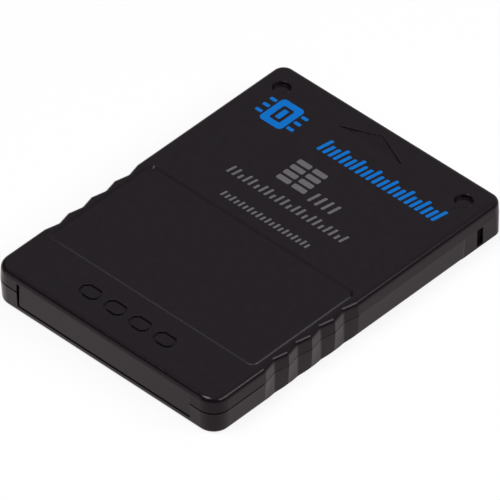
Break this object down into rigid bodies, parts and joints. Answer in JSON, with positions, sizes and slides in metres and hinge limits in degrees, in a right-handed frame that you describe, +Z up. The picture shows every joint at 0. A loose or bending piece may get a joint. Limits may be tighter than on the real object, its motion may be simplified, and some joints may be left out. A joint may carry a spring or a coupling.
{
  "type": "console memory card",
  "caption": "Flat black moulded memory card for a game console, with finger grips along its sides, a label recess, an insertion arrow and a contact mouth at its nose.",
  "frame": {"origin": "middle of the card's underside", "axes": "+X across the card, +Y towards the nose that goes into the console, +Z up through the label side"},
  "size_m": [0.0424, 0.0586, 0.0063],
  "materials": {
    "shell": "black moulded plastic, satin",
    "board": "glass-epoxy board under green solder resist",
    "contact": "gold-plated copper",
    "chip": "black moulded epoxy",
    "lead": "tinned lead frame",
    "ceramic": "tan ceramic",
    "resistor": "dark ceramic"
  },
  "bodies": {
    "root": {"upper_shell": "shell", "lower_shell": "shell", "circuit_board": "board", "flash_chip": "chip", "flash_chip_leads": "lead", "controller_chip": "chip", "controller_chip_leads": "lead", "contact_pad_1": "contact", "contact_pad_2": "contact", "contact_pad_3": "contact", "contact_pad_4": "contact", "contact_pad_5": "contact", "contact_pad_6": "contact", "contact_pad_7": "contact", "contact_pad_8": "contact", "capacitor_1": "ceramic", "capacitor_2": "ceramic", "capacitor_3": "ceramic", "capacitor_4": "ceramic", "resistor_1": "resistor", "resistor_2": "resistor", "resistor_3": "resistor", "resistor_4": "resistor", "resistor_5": "resistor"}
  },
  "joints": []
}
